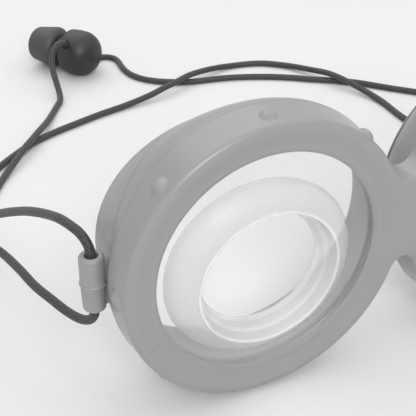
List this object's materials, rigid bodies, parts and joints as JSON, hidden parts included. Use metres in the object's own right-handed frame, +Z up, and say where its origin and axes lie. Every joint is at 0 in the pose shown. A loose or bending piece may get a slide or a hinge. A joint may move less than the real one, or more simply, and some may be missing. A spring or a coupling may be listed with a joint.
{
  "type": "swimming goggles",
  "caption": "Round-lens swimming goggles with a one-piece front frame, deep rear eyecups, strap barrels and an elastic cord strap closed by a spring cord lock.",
  "frame": {"origin": "On the surface that the goggles stand on, midway between the eyecups and midway through their depth, measured without the strap and its lock.", "axes": "+X to the right for someone who faces the lenses, -Y the way the lenses look, +Z up."},
  "size_m": [0.1601, 0.1776, 0.0619],
  "materials": {
    "frame_plastic": "satin",
    "shell_plastic": "satin",
    "lens_plastic": "clear polished",
    "silicone": "frosted translucent",
    "seal_rubber": "matte",
    "cord": "braided",
    "lock_plastic": "satin",
    "knob_plastic": "satin",
    "spring_steel": "bright"
  },
  "bodies": {
    "goggles": {"front_frame": "frame_plastic", "left_lens": "lens_plastic", "right_lens": "lens_plastic", "left_lens_seal": "seal_rubber", "right_lens_seal": "seal_rubber", "left_rear_shell": "shell_plastic", "right_rear_shell": "shell_plastic", "left_inner_ring": "silicone", "right_inner_ring": "silicone", "strap_cord_left_barrel": "cord", "strap_cord_right_barrel": "cord", "strap_cord_lock": "cord", "strap_cord_long": "cord", "strap_cord_left": "cord", "strap_cord_right": "cord", "cord_lock_body": "lock_plastic", "cord_lock_spring": "spring_steel"},
    "plunger": {"cord_lock_plunger": "knob_plastic"}
  },
  "joints": [
    {"name": "cord_lock_press", "type": "slide", "parent": "goggles", "child": "plunger", "axis": [0.5736, -0.8192, 0], "range_m": [0, 0.0022], "stiffness_N_per_m": 400, "springref_m": -0.003, "deforming": ["cord_lock_spring"]}
  ]
}
